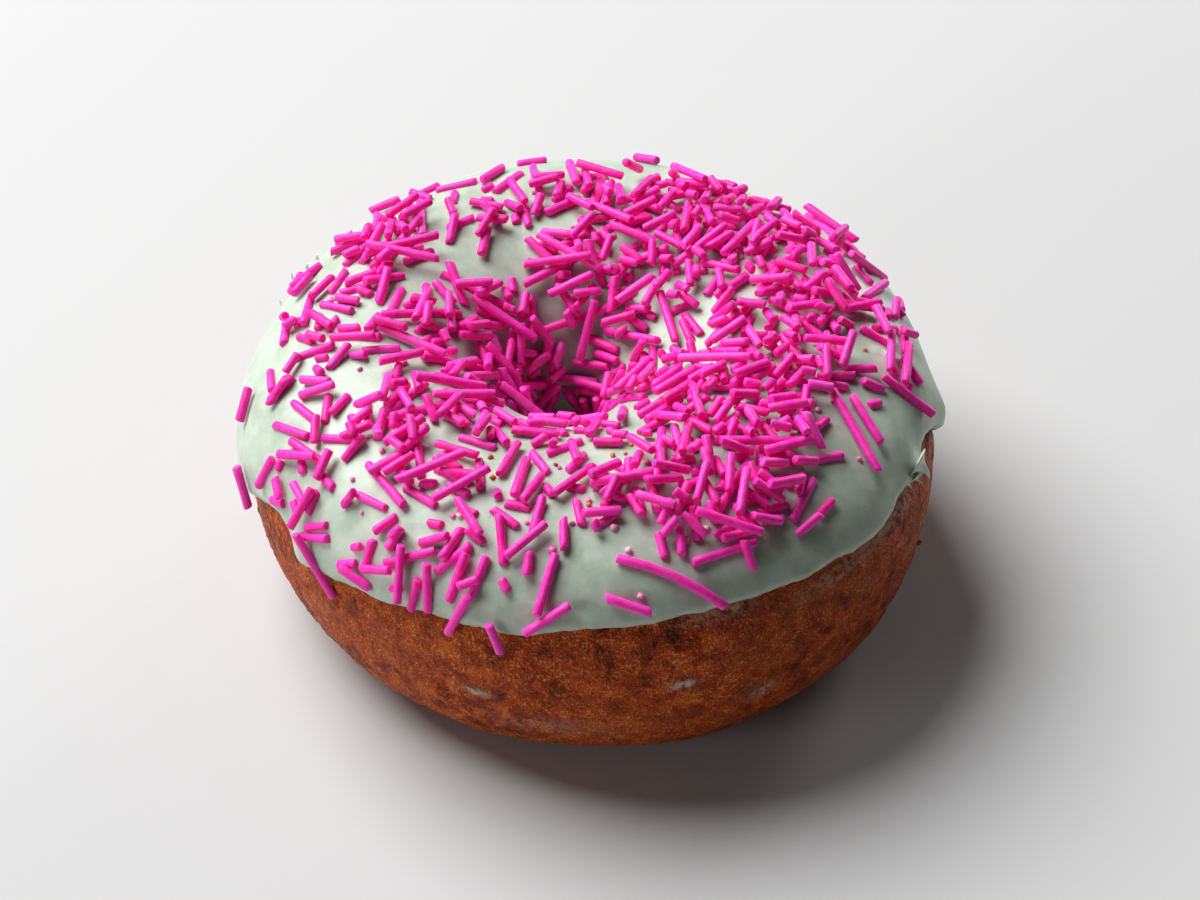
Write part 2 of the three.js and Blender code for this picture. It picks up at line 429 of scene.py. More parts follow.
def icing_face(azimuth, angle, low, high):
    """Distance from the core circle to the icing's outer face, and how thin the icing is there."""
    dough, points = crust_swell(azimuth, angle)
    share = np.clip((angle - low) / (high - low), 0, 1)
    from_low, from_high = (angle - low) * dough, (high - angle) * dough
    body = np.interp(share, PROFILE_SHARES, PROFILE) + ICING_SWELL * smoothstep(0.0, 0.08, share)
    rise = np.clip(np.minimum(from_low, from_high) / LIP_WIDTH, 0, 1)
    lip = np.sqrt(1 - (1 - rise) ** 2)
    thickness = body * lip + swells(points, ICING_SWELLS, 3) * smoothstep(0, 2 * LIP_WIDTH, from_low)
    thin = 1 - smoothstep(0, 0.75 * LIP_WIDTH, from_low)
    return dough + thickness, thin, points


def add_lumps(points, azimuth, angle):
    """Moves the outer face out at each lump, and down a little, as icing does that ran before it set."""
    moved = points.copy()
    out = np.stack([
        np.cos(azimuth) * np.cos(angle),
        np.sin(azimuth) * np.cos(angle),
        np.sin(angle),
    ], axis=-1)
    for place_azimuth, place_angle, half, height, drop in ICING_LUMPS:
        a, v = math.radians(place_azimuth), math.radians(place_angle)
        body = np.interp(0.2, PROFILE_SHARES, PROFILE) + dough_at(a, v)
        centre = ring_points(np.array(a), np.array(v), body)
        away = np.linalg.norm(points - centre, axis=1) / (half * MM)
        swell = np.exp(-away ** 2 * 1.4)[:, None]
        moved += swell * (out * height + np.array([0, 0, -drop])) * MM
    return moved


def make_icing(material):
    steps = ICING_OUTER_STEPS + ICING_INNER_STEPS
    mesh, azimuth, step = plain_ring("icing_skin", steps, ICING_RING_STEPS)
    outside = step <= ICING_OUTER_STEPS
    even = np.where(outside, step / ICING_OUTER_STEPS, (steps - step) / ICING_INNER_STEPS)
    # The rows crowd towards both edges, which are curved the most.
    crowded = even - CROWDING * np.sin(TURN * even) / TURN
    outer_waves = waves_round(azimuth, BORDER_WAVES, 1) - icing_run(azimuth)
    hole_waves = waves_round(azimuth, BORDER_WAVES, 2)
    low = read_round(OUTER_EDGE, azimuth) + outer_waves / EDGE_DISTANCE
    high = read_round(HOLE_EDGE, azimuth) + HOLE_RUN + hole_waves / EDGE_DISTANCE
    share = np.where(outside, crowded, even)
    angle = low + share * (high - low)
    face, thin, points = icing_face(azimuth, angle, low, high)
    dough, _ = crust_swell(azimuth, angle)
    distance = np.where(outside, face, dough - ICING_BED)
    points = ring_points(azimuth, angle, distance)
    lumped = add_lumps(points, azimuth, angle)
    edge_hold = smoothstep(0, 0.02, share) * outside
    points += (lumped - points) * edge_hold[:, None]
    set_corners(mesh, points)
    set_shares(mesh, "thin", np.where(outside, thin, 1.0))
    piece = new_piece("set_icing", mesh, material)
    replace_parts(piece, "icing")
    return piece


# Drawn-out tips of icing: azimuth, section angle, length, thickness, rise of its direction, curl in degrees.
ICING_TIPS = [
    (151.5, 24, 2.3, 0.62, 48, 25),
    (150, 22, 1.3, 0.45, 20, 60),
    (147.3, 24, 2.1, 0.60, 25, 105),
    (144.0, 23, 1.6, 0.55, 30, 80),
    (156, 21, 1.1, 0.55, 40, 20),
    (337.0, 20.5, 2.3, 1.25, -24, -30),
    (335.3, 18.0, 1.1, 0.42, -45, 10),
    (334.0, 17.6, 0.9, 0.36, -50, 0),
]
TIP_RINGS = 9


def make_tips(skin, material):
    """Small tapering tips, each set into the icing at its thick end."""
    bm = bmesh.new()
    bmesh.ops.create_cone(bm, cap_ends=True, segments=12, radius1=1.0, radius2=0.5, depth=2.0)
    sides = [e for e in bm.edges if abs(e.verts[0].co.z - e.verts[1].co.z) > 1]
    bmesh.ops.subdivide_edges(bm, edges=sides, cuts=TIP_RINGS)
    template = mesh_from(bm, "tip_template")
    plain = corners_of(template)
    share = (plain[:, 2] + 1) / 2
    turn = np.arctan2(plain[:, 1], plain[:, 0])
    faces = [tuple(face.vertices) for face in skin.data.polygons]
    skin_tree = BVHTree.FromPolygons([Vector(p) for p in corners_of(skin.data).tolist()], faces)
    bm = bmesh.new()
    corners = []
    for azimuth, angle, length, thickness, rise, curl in ICING_TIPS:
        bm.from_mesh(template)
        a, v = math.radians(azimuth), math.radians(angle)
        body = face_distance(skin_tree, a, v)
        root = ring_points(np.array(a), np.array(v), body)
        lean = math.radians(rise) + math.radians(curl) * share ** 1.5
        run = (1.25 * share - 0.25) * length * MM
        outward = np.stack([np.cos(lean) * math.cos(a), np.cos(lean) * math.sin(a), np.sin(lean)], axis=1)
        taper = 0.16 + 0.62 * (1 - share) ** 1.4 + 1.1 * (1 - share) ** 7
        radius = thickness * MM * taper * np.sqrt(np.clip(1.02 - share ** 8, 0.05, 1))
        side = np.array([-math.sin(a), math.cos(a), 0])
        up = np.cross(outward, side)
        offset = side * np.cos(turn)[:, None] + up * np.sin(turn)[:, None]
        corners.append(root + outward * run[:, None] + offset * radius[:, None])
    mesh = mesh_from(bm, "icing_tips")
    corners = np.concatenate(corners)
    set_corners(mesh, corners)
    set_shares(mesh, "thin", np.zeros(len(corners)))
    return new_piece("icing_tips", mesh, material)


# Materials ------------------------------------------------------------------------------------------------


class Finish:
    """A material being put together from nodes."""

    def __init__(self, name):
        self.material = bpy.data.materials.new(name)
        self.material.use_nodes = True
        self.nodes = self.material.node_tree.nodes
        self.links = self.material.node_tree.links
        self.nodes.clear()
        self.shader = self.nodes.new("ShaderNodeBsdfPrincipled")
        output = self.nodes.new("ShaderNodeOutputMaterial")
        self.links.new(self.shader.outputs[0], output.inputs["Surface"])
        self.place = self.nodes.new("ShaderNodeTexCoord").outputs["Object"]

    def set(self, name, value):
        self.shader.inputs[name].default_value = value

    def noise(self, size, detail=2.0, roughness=0.5, distortion=0.0):
        node = self.nodes.new("ShaderNodeTexNoise")
        node.inputs["Scale"].default_value = 1 / size
        node.inputs["Detail"].default_value = detail
        node.inputs["Roughness"].default_value = roughness
        node.inputs["Distortion"].default_value = distortion
        self.links.new(self.place, node.inputs["Vector"])
        return node.outputs["Fac"]

    def cells(self, size):
        node = self.nodes.new("ShaderNodeTexVoronoi")
        node.inputs["Scale"].default_value = 1 / size
        self.links.new(self.place, node.inputs["Vector"])
        return node.outputs["Distance"]

    def attribute(self, name):
        node = self.nodes.new("ShaderNodeAttribute")
        node.attribute_name = name
        return node.outputs["Fac"]

    def ramp(self, value, *stops):
        node = self.nodes.new("ShaderNodeValToRGB")
        stripes = node.color_ramp.elements
        while len(stripes) < len(stops):
            stripes.new(0.5)
        for stripe, (position, colour) in zip(stripes, stops):
            stripe.position = position
            stripe.color = (*colour, 1) if isinstance(colour, tuple) else (colour, colour, colour, 1)
        self.links.new(value, node.inputs["Fac"])
        return node.outputs["Color"]

    def mix(self, share, first, second):
        node = self.nodes.new("ShaderNodeMix")
        node.data_type = "RGBA"
        for socket, value in zip((0, 6, 7), (share, first, second)):
            if isinstance(value, bpy.types.NodeSocket):
                self.links.new(value, node.inputs[socket])
            elif isinstance(value, tuple):
                node.inputs[socket].default_value = (*value, 1)
            else:
                node.inputs[socket].default_value = value
        return node.outputs[2]

    def maths(self, kind, first, second):
        node = self.nodes.new("ShaderNodeMath")
        node.operation = kind
        for socket, value in enumerate((first, second)):
            if isinstance(value, bpy.types.NodeSocket):
                self.links.new(value, node.inputs[socket])
            else:
                node.inputs[socket].default_value = value
        return node.outputs[0]

    def bump(self, height, distance, strength=1.0):
        node = self.nodes.new("ShaderNodeBump")
        node.inputs["Distance"].default_value = distance
        node.inputs["Strength"].default_value = strength
        self.links.new(height, node.inputs["Height"])
        self.links.new(node.outputs[0], self.shader.inputs["Normal"])

    def colour(self, socket):
        self.links.new(socket, self.shader.inputs["Base Color"])

    def roughness(self, socket):
        self.links.new(socket, self.shader.inputs["Roughness"])


def fried_crust():
    finish = Finish("fried_crust")
    broad = finish.noise(12 * MM, 3, 0.55)
    patches = finish.noise(2.8 * MM, 5, 0.66, 0.35)
    grain = finish.noise(0.75 * MM, 3, 0.7)
    flecks = finish.noise(0.33 * MM, 2, 0.6)
    base = finish.ramp(
        patches,
        (0.33, (0.065, 0.005, 0.001)), (0.45, (0.25, 0.024, 0.002)),
        (0.56, (0.43, 0.053, 0.005)), (0.70, (0.60, 0.125, 0.016)),
    )
    toned = finish.mix(finish.ramp(broad, (0.40, 0.0), (0.66, 0.65)), base, (0.42, 0.075, 0.012))
    dark = finish.mix(finish.ramp(grain, (0.34, 0.60), (0.48, 0.0)), toned, (0.09, 0.008, 0.001))
    grains = finish.ramp(flecks, (0.53, 0.0), (0.65, 0.85))
    fleck_share = finish.maths("MULTIPLY", grains, finish.ramp(patches, (0.40, 0.25), (0.60, 1.0)))
    gold = finish.mix(fleck_share, dark, (0.70, 0.29, 0.075))
    streaks = finish.ramp(finish.noise(0.9 * MM, 3, 0.6), (0.38, 0.0), (0.56, 1.0))
    smear = finish.maths("MULTIPLY", finish.attribute("smear"), streaks)
    finish.colour(finish.mix(smear, gold, (0.52, 0.44, 0.34)))
    finish.roughness(finish.ramp(grain, (0.3, 0.34), (0.7, 0.60)))
    finish.set("Specular IOR Level", 0.10)
    height = finish.maths("ADD", finish.maths("MULTIPLY", grain, 0.8), finish.maths("MULTIPLY", flecks, 0.35))
    finish.bump(height, 0.60 * MM, 1.0)
    return finish.material


def set_icing(name, translucence, painted_light_share):
    finish = Finish(name)
    broad = finish.noise(11 * MM, 2.5, 0.5)
    fine = finish.noise(2.2 * MM, 3, 0.6)
    base = finish.ramp(broad, (0.32, (0.395, 0.49, 0.39)), (0.68, (0.47, 0.565, 0.46)))
    cloud = finish.ramp(finish.noise(4.5 * MM, 3, 0.6), (0.38, 0.50), (0.58, 0.0))
    clouded = finish.mix(cloud, base, (0.325, 0.415, 0.325))
    mottled = finish.mix(finish.ramp(fine, (0.44, 0.0), (0.74, 0.40)), clouded, (0.62, 0.69, 0.59))
    # The pale mint mixed in by the last argument is painted light: it lightens the tips' copy of the icing
    # against the shade on their steep sides.
    toned = finish.mix(painted_light_share, mottled, (0.74, 0.82, 0.71))
    thin = finish.attribute("thin")
    worn = finish.maths("MULTIPLY", thin, finish.ramp(fine, (0.36, 0.55), (0.66, 0.1)))
    finish.colour(finish.mix(worn, toned, (0.36, 0.27, 0.22)))
    finish.roughness(finish.ramp(fine, (0.3, 0.34), (0.7, 0.46)))
    finish.set("Subsurface Weight", translucence)
    finish.set("Subsurface Scale", 2.0 * MM)
    finish.set("Subsurface Radius", (0.8, 1.0, 0.8))
    bubbles = finish.ramp(finish.cells(1.5 * MM), (0.0, 0.0), (0.16, 1.0))
    height = finish.maths("ADD", finish.maths("MULTIPLY", fine, 0.5), finish.maths("MULTIPLY", bubbles, 0.22))
    finish.bump(height, 0.22 * MM, 0.5)
    return finish.material


def pink_sugar():
    finish = Finish("pink_sugar")
    shade = finish.attribute("shade")
    base = finish.ramp(
        shade,
        (0.0, (0.92, 0.006, 0.35)), (0.5, (0.98, 0.016, 0.44)), (1.0, (0.99, 0.052, 0.53)),
    )
    mottle = finish.noise(0.9 * MM, 2, 0.6)
    finish.colour(finish.mix(finish.ramp(mottle, (0.45, 0.0), (0.8, 0.4)), base, (0.99, 0.17, 0.56)))
    finish.roughness(finish.ramp(mottle, (0.3, 0.42), (0.7, 0.60)))
    finish.set("Specular IOR Level", 0.40)
    finish.set("Subsurface Weight", 0.35)
    finish.set("Subsurface Scale", 1.2 * MM)
    finish.set("Subsurface Radius", (1.0, 0.25, 0.6))
    finish.bump(finish.noise(0.35 * MM, 2, 0.6), 0.06 * MM, 0.5)
    return finish.material


def clear_sugar():
    finish = Finish("clear_pink_sugar")
    shade = finish.attribute("shade")
    finish.colour(finish.ramp(
        shade,
        (0.0, (0.90, 0.10, 0.42)), (0.6, (0.93, 0.30, 0.50)), (1.0, (0.93, 0.55, 0.62)),
    ))
    finish.roughness(finish.ramp(finish.noise(0.4 * MM), (0.3, 0.18), (0.7, 0.35)))
    finish.set("Subsurface Weight", 0.5)
    finish.set("Subsurface Scale", 1.5 * MM)
    finish.set("Subsurface Radius", (1.0, 0.4, 0.7))
    return finish.material


def biscuit():
    finish = Finish("biscuit_crumb")
    shade = finish.attribute("shade")
    base = finish.ramp(
        shade,
        (0.0, (0.42, 0.09, 0.03)), (0.5, (0.66, 0.20, 0.06)), (1.0, (0.80, 0.36, 0.14)),
    )
    browned = finish.ramp(finish.noise(0.3 * MM), (0.4, 0.0), (0.7, 0.5))
    finish.colour(finish.mix(browned, base, (0.35, 0.08, 0.03)))
    finish.roughness(finish.ramp(finish.noise(0.5 * MM), (0.3, 0.5), (0.7, 0.75)))
    return finish.material


# Sugar strands --------------------------------------------------------------------------------------------


def strand_template():
    """A round rod along X from -1 to 1, with softened ends."""
    bm = bmesh.new()
    bmesh.ops.create_cone(
        bm, cap_ends=True, cap_tris=False, segments=STRAND_SIDES,
        radius1=STRAND_RADIUS, radius2=STRAND_RADIUS, depth=2.0,
    )
    bmesh.ops.rotate(bm, verts=bm.verts, cent=(0, 0, 0), matrix=Matrix.Rotation(math.pi / 2, 3, "Y"))
    rims = [e for e in bm.edges if abs(e.verts[0].co.x - e.verts[1].co.x) < 0.1]
    bmesh.ops.bevel(
        bm, geom=rims, offset=0.32 * STRAND_RADIUS, offset_type="OFFSET", affect="EDGES",
        segments=2, profile=0.5, material=-1,
    )
    long_edges = [e for e in bm.edges if abs(e.verts[0].co.x - e.verts[1].co.x) > 1]
    bmesh.ops.subdivide_edges(bm, edges=long_edges, cuts=3)
    return mesh_from(bm, "strand_template")


TEMPLATE = strand_template()
TEMPLATE_POINTS = corners_of(TEMPLATE)


def strand_points(line, dents):
    """Corners of a strand whose middle line goes smoothly through the rows of line."""
    steps = np.linalg.norm(np.diff(line, axis=0), axis=1)
    run = np.concatenate([[0], np.cumsum(steps)])
    length = run[-1]
    x = TEMPLATE_POINTS[:, 0]
    from_end = 1 - np.abs(x)
    near_end = from_end < 0.4 * STRAND_RADIUS
    place = np.where(x < 0, from_end, length - from_end)
    inner = (x + 1) / 2 * length
    place = np.where(near_end, place, inner)
    middle = np.stack([np.interp(place, run, line[:, k]) for k in range(3)], axis=1)
    before = np.stack([np.interp(place - length / 8, run, line[:, k]) for k in range(3)], axis=1)
    after = np.stack([np.interp(place + length / 8, run, line[:, k]) for k in range(3)], axis=1)
    along = after - before
    along /= np.linalg.norm(along, axis=1)[:, None]
    side = np.cross(along, np.array([0.31, 0.17, 0.94]))
    side /= np.linalg.norm(side, axis=1)[:, None]
    up = np.cross(along, side)
    y, z = TEMPLATE_POINTS[:, 1], TEMPLATE_POINTS[:, 2]
    turn = np.arctan2(z, y)
    oval, oval_turn, wave, wave_turn, slant_y, slant_z = dents
    squeeze = 1 + oval * np.cos(2 * turn + oval_turn) + wave * np.sin(place / length * 5 + wave_turn)
    slant = (slant_y * y + slant_z * z) * np.where(near_end, 1.0, 0.0)
    return middle + (side * y[:, None] + up * z[:, None]) * squeeze[:, None] + along * slant[:, None]


def draw_dents(chance):
    """Numbers that make a strand slightly oval, uneven and broken off at a slant."""
    oval, oval_turn = chance.uniform(0.0, 0.07), chance.uniform(0, TURN)
    wave, wave_turn = chance.uniform(0.0, 0.05), chance.uniform(0, TURN)
    return oval, oval_turn, wave, wave_turn, chance.gauss(0, 0.22), chance.gauss(0, 0.22)


def make_strands(name, lines, chance, material):
    """One piece that holds a strand for each line."""
    bm = bmesh.new()
    for _ in lines:
        bm.from_mesh(TEMPLATE)
    mesh = mesh_from(bm, name)
    shades, corners = [], []
    for line in lines:
        corners.append(strand_points(line, draw_dents(chance)))
        shades += [min(max(chance.gauss(0.5, 0.22), 0), 1)] * len(TEMPLATE_POINTS)
    set_corners(mesh, np.concatenate(corners))
    set_shares(mesh, "shade", shades)
    return new_piece(name, mesh, material)


def frame_line(node):
    """The middle line of a strand in the frame, from the rings of corners along it."""
    corners = np.unique(np.round(corners_of(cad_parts[node].data), 7), axis=0)
    centred = corners - corners.mean(axis=0)
    along = np.linalg.svd(centred, full_matrices=False)[2][0]
    ordered = corners[np.argsort(centred @ along)]
    return ordered.reshape(-1, FRAME_STRAND_SIDES, 3).mean(axis=1)


class Pile:
    """The strands laid so far, as beads along their middle lines, and the surface that they lie on."""

    def __init__(self, *pieces):
        self.trees = []
        for piece in pieces:
            corners = [Vector(p) for p in corners_of(piece.data).tolist()]
            faces = [tuple(face.vertices) for face in piece.data.polygons]
            self.trees.append(BVHTree.FromPolygons(corners, faces))
        self.beads = np.zeros((0, 3))

    def add(self, line):
        steps = np.linalg.norm(np.diff(line, axis=0), axis=1)
        run = np.concatenate([[0], np.cumsum(steps)])
        places = np.linspace(0, run[-1], max(3, int(run[-1] / BEAD_STEP)))
        beads = np.stack([np.interp(places, run, line[:, k]) for k in range(3)], axis=1)
        self.beads = np.concatenate([self.beads, beads])

    def surface(self, start, direction, reach=12 * MM):
        """Distance from start along direction to the first surface."""
        found = [tree.ray_cast(start, direction, reach)[3] for tree in self.trees]
        found = [distance for distance in found if distance is not None]
        return min(found) if found else None

    def rest(self, azimuth, angle, heading, length):
        """Lets a straight strand down onto the surface and the strands there, and gives its line or None."""
        out = out_of_core(azimuth, angle)
        above = core_point(azimuth) + out * REACH
        drop = self.surface(above, -out, REACH)
        if drop is None:
            return None
        foot = above - out * drop
        spot = None
        for tree in self.trees:
            spot = tree.ray_cast(above, -out, REACH)
            if spot[0] is not None and abs(spot[3] - drop) < 1e-6:
                break
        normal = Vector(spot[1])
        if normal.dot(out) < 0:
            normal.negate()
        normal = (normal + out).normalized()
        around = Vector((-math.sin(azimuth), math.cos(azimuth), 0))
        along = (around - normal * around.dot(normal)).normalized()
        along.rotate(Matrix.Rotation(heading, 3, normal))
        places = np.linspace(-length / 2, length / 2, max(3, int(length / BEAD_STEP) + 1))
        heights = []
        away = np.linalg.norm(self.beads - np.array(foot), axis=1)
        near = self.beads[away < length / 2 + 4 * STRAND_RADIUS]
        for place in places:
            point = foot + along * place
            down = self.surface(point + normal * LIFT, -normal)
            height = STRAND_RADIUS - STRAND_SINK + (LIFT - down if down is not None else -2 * MM)
            if len(near):
                apart = near - np.array(point)
                high = apart @ np.array(normal)
                flat = np.linalg.norm(apart - high[:, None] * np.array(normal), axis=1)
                touch = flat < 2 * STRAND_RADIUS
                if touch.any():
                    held = high[touch] + np.sqrt(4 * STRAND_RADIUS ** 2 - flat[touch] ** 2) * NESTING
                    height = max(height, held.max())
            heights.append(height)
        heights = np.array(heights)
        best, slope = None, 0.0
        for i in range(len(places)):
            for j in range(i + 1, len(places)):
                if places[i] <= 0 <= places[j]:
                    tilt = (heights[j] - heights[i]) / (places[j] - places[i])
                    level = heights[i] - tilt * places[i]
                    if best is None or level > best:
                        best, slope = level, tilt
        steepest = STEEPEST_ON_TOP if angle < HOLE_FROM else STEEPEST_IN_HOLE
        if best > HIGHEST or abs(slope) > steepest:
            return None
        centre = foot + normal * best
        along = (along + normal * slope).normalized()
        line = np.array([centre + along * place for place in (-length / 2, 0, length / 2)])
        return best + abs(slope) * length * SLOPE_COST, line


# Where the strands fell: azimuth and section angle of the middle of a patch, how far it spreads in each, and
# how many strands are in it.
PATCHES = [
    (0, 86, 16, 8, 56),
    (28, 74, 14, 8, 54),
    (54, 92, 12, 9, 76),
    (46, 76, 12, 6, 14),
    (330, 92, 14, 10, 60),
    (310, 82, 10, 9, 56),
    (300, 64, 8, 8, 26),
    (318, 66, 8, 6, 14),
    (302, 45, 8, 7, 12),
    (22, 56, 12, 7, 11),
    (16, 41, 12, 6, 10),
    (110, 46, 16, 7, 3),
    (160, 38, 12, 7, 3),
    (355, 58, 7, 7, 8),
    (352, 42, 6, 5, 4),
    (80, 84, 10, 10, 11),
    (140, 62, 10, 8, 10),
    (151, 74, 8, 7, 28),
    (178, 56, 10, 12, 18),
    (172, 84, 10, 8, 8),
    (200, 62, 10, 10, 11),
    (212, 88, 9, 7, 16),
    (232, 76, 10, 7, 16),
    (240, 60, 9, 9, 10),
    (205, 42, 8, 8, 10),
    (242, 34, 8, 7, 16),
    (216, 22, 7, 5, 8),
    (258, 44, 8, 12, 3),
    (262, 78, 10, 7, 10),
    (287, 82, 9, 8, 26),
    (275, 60, 7, 8, 5),
    (315, 112, 20, 9, 50),
    (50, 108, 18, 9, 46),
    (228, 112, 18, 9, 36),
    (275, 110, 16, 8, 22),
    (350, 110, 12, 7, 14),
    (75, 128, 18, 8, 30),
    (165, 118, 14, 9, 10),
    (105, 82, 9, 7, 9),
    (122, 58, 8, 7, 5),
    (168, 106, 11, 8, 10),
    (196, 108, 10, 8, 4),
    (270, 118, 11, 8, 14),
    (318, 120, 10, 8, 12),
    (270, 26, 9, 6, 4),
    (0, 138, 180, 9, 58),
    (178, 146, 14, 9, 26),
    (150, 158, 14, 9, 30),
    (118, 166, 16, 8, 10),
    (0, 160, 180, 9, 26),
    (95, 180, 34, 8, 9),
    (104, 91, 9, 5, 9),
    (84, 120, 11, 8, 20),
    (256, 116, 14, 8, 44),
    (317, 134, 8, 9, 36),
    (75, 113, 6, 5, 12),
    (278, 112, 9, 7, 20),
    (0, 54, 7, 6, 12),
    (62, 114, 14, 7, 24),
    (60, 142, 24, 6, 12),
    (270, 116, 8, 7, 10),
    (283, 66, 9, 10, 19),
    (232, 26, 9, 6, 8),
]


# Long strands that lie alone on the far wall of the hole: azimuth, section angle, heading, length in mm.
LONG_STRANDS = [
    (113, 150, 4, 9.2), (84, 165, 8, 6.0), (72, 157, 172, 5.4), (103, 172, 5, 6.2),
]


# Places that few strands fell on: azimuth, section angle, half width and half height in degrees.
BARE_PLACES = [
    (293, 132, 8, 13), (271, 44, 7, 9), (316, 33, 14, 8), (128, 112, 10, 9), (70, 155, 22, 6),
    (194, 30, 8, 8), (0, 60, 6, 6), (225, 142, 10, 8),
]


# How near to the outer edge the strands lie, how deep in the hole and how far past the icing, in degrees.
CLEAR_OF_EDGE = 7
DEEPEST = 178
PAST_HOLE_EDGE = 5

# Where the strands lie one deep, round the near lip of the hole.
SINGLE_LAYER = (268, 128, 46, 32)
SINGLE_LAYER_HEIGHT = 1.3 * MM


def is_inside(place, a, v):
    azimuth, angle, half_width, half_height = place
    across = ((a - azimuth + 180) % 360 - 180) / half_width
    return across ** 2 + ((v - angle) / half_height) ** 2 < 1


def is_bare(a, v, chance):
    return any(is_inside(place, a, v) for place in BARE_PLACES) and chance.random() < 0.88


def strand_length(chance):
    lot = chance.random()
    if lot < 0.08:
        return chance.uniform(6.5, 10.5) * MM
    if lot > 0.90:
        return chance.uniform(1.3, 2.2) * MM
    return min(max(chance.gauss(4.2, 1.2), 2.0), 7.0) * MM


def scatter(pile):
    """Lays every patch of strands, mixed together, and gives their lines and azimuths."""
    wanted = []
    for azimuth, angle, azimuth_spread, angle_spread, count in PATCHES:
        for n in range(count):
            chance = random.Random(azimuth * 7919 + angle * 104729 + n)
            all_round = azimuth_spread >= 180
            a = chance.uniform(0, 360) if all_round else chance.gauss(azimuth, azimuth_spread) % 360
            wanted.append((chance.random(), a, chance.gauss(angle, angle_spread), chance))
    laid = []
    for azimuth, angle, heading, length in LONG_STRANDS:
        found = pile.rest(math.radians(azimuth), math.radians(angle), math.radians(heading), length * MM)
        if found:
            pile.add(found[1])
            laid.append((azimuth, found[1]))
    for _, a, v, chance in sorted(wanted, key=lambda strand: strand[:3]):
        length = strand_length(chance)
        low = math.degrees(read_round(OUTER_EDGE, np.array(math.radians(a))))
        high = math.degrees(read_round(HOLE_EDGE, np.array(math.radians(a))))
        if v < low + CLEAR_OF_EDGE or v > max(DEEPEST, high + PAST_HOLE_EDGE) or is_bare(a, v, chance):
            continue
        tries = []
        for _ in range(TRIES):
            near_a, near_v = math.radians(a + chance.gauss(0, 2.5)), math.radians(v + chance.gauss(0, 3))
            found = pile.rest(near_a, near_v, chance.uniform(0, math.pi), length)
            if found:
                tries.append(found)
        if not tries:
            continue
        height, line = min(tries, key=lambda found: found[0])
        if height < SINGLE_LAYER_HEIGHT or not is_inside(SINGLE_LAYER, a, v):
            pile.add(line)
            laid.append((a, line))
    return laid


# Crumbs ---------------------------------------------------------------------------------------------------

# Where the crumbs fell: azimuth, section angle, how far they spread, how many.
SUGAR_CRUMBS = [(60, 84, 30, 34), (330, 84, 30, 40), (240, 66, 34, 34), (150, 70, 30, 20), (280, 56, 22, 14)]
BISCUIT_CRUMBS = [(300, 78, 30, 12), (60, 78, 26, 8), (250, 84, 30, 10), (160, 80, 26, 4), (20, 84, 30, 6)]
CRUST_CRUMBS = [(338.6, -22.5, 0, 1)]
GRAIN_SPREAD = 0.5


def crumb_template(detail):
    bm = bmesh.new()
    bmesh.ops.create_icosphere(bm, subdivisions=detail, radius=1.0)
    return mesh_from(bm, "crumb_template")


def make_crumbs(name, places, sizes, grains, pile, chance, material):
    """Small rough lumps, each of a few grains, resting where they fell."""
    template = crumb_template(1 if grains > 1 else 2)
    plain = corners_of(template)
    bm = bmesh.new()
    corners, shades = [], []
    for azimuth, angle, spread, count in places:
        for _ in range(count):
            a = math.radians(chance.gauss(azimuth, spread))
            v = math.radians(chance.gauss(angle, spread / 2))
            out = out_of_core(a, v)
            above = core_point(a) + out * REACH
            drop = pile.surface(above, -out, REACH)
            size = chance.uniform(*sizes) * MM
            foot = np.array(above - out * drop)
            if np.linalg.norm(pile.beads - foot, axis=1).min() < STRAND_RADIUS + 0.6 * size:
                continue
            shade = chance.random()
            for _ in range(grains):
                bm.from_mesh(template)
                shift = Vector((chance.uniform(0, 90), 0, 0))
                lumps = np.array([noise.noise(Vector(p) * 1.3 + shift) for p in plain.tolist()])
                grain = plain * (1 + 0.55 * lumps[:, None]) * size * chance.uniform(0.8, 1.1)
                grain[:, 2] *= 0.8
                shifts = np.array([chance.uniform(-1, 1) for _ in range(3)])
                aside = shifts * size * (GRAIN_SPREAD if grains > 1 else 0)
                corners.append(grain + foot + aside + np.array(out) * size * 0.35)
                shades += [shade] * len(plain)
    mesh = mesh_from(bm, name)
    set_corners(mesh, np.concatenate(corners))
    set_shares(mesh, "shade", shades)
    return new_piece(name, mesh, material)


# Camera, floor and light ----------------------------------------------------------------------------------


CAMERA_ELEVATION = math.radians(43)
CAMERA_DISTANCE = 500 * MM
CAMERA_TILT = math.radians(-2)
CAMERA_LENS = 110.8
HALF_HEIGHT = 20 * MM
FLOOR_HALF_WIDTH = 1.1


def make_camera():
    """Looks down at the doughnut from the front."""
    elevation = CAMERA_ELEVATION
    back = Vector((0, -math.cos(elevation), math.sin(elevation)))
    up = Vector((0, math.sin(elevation), math.cos(elevation)))
    middle = Vector((RING_CENTRE.x, RING_CENTRE.y, HALF_HEIGHT))
    place = middle + back * CAMERA_DISTANCE
    target = middle + Vector((1, 0, 0)) * 1.14 * MM - up * 2.07 * MM
    camera = bpy.data.objects.new("camera", bpy.data.cameras.new("camera"))
    bpy.context.scene.collection.objects.link(camera)
    camera.data.lens = CAMERA_LENS
    camera.data.clip_start = 0.02
    camera.location = place
    camera.rotation_mode = "QUATERNION"
    camera.rotation_quaternion = (target - place).to_track_quat("-Z", "Y")
    camera.rotation_quaternion @= Matrix.Rotation(CAMERA_TILT, 3, "Z").to_quaternion()
    bpy.context.scene.camera = camera


def make_floor():
    bm = bmesh.new()
    bmesh.ops.create_grid(bm, x_segments=1, y_segments=1, size=FLOOR_HALF_WIDTH)
    mesh = mesh_from(bm, "floor")
    floor = bpy.data.objects.new("floor", mesh)
    bpy.context.scene.collection.objects.link(floor)
    finish = Finish("pale_floor")
    finish.set("Base Color", (0.56, 0.56, 0.56, 1))
    finish.set("Roughness", 0.8)
    mesh.materials.append(finish.material)


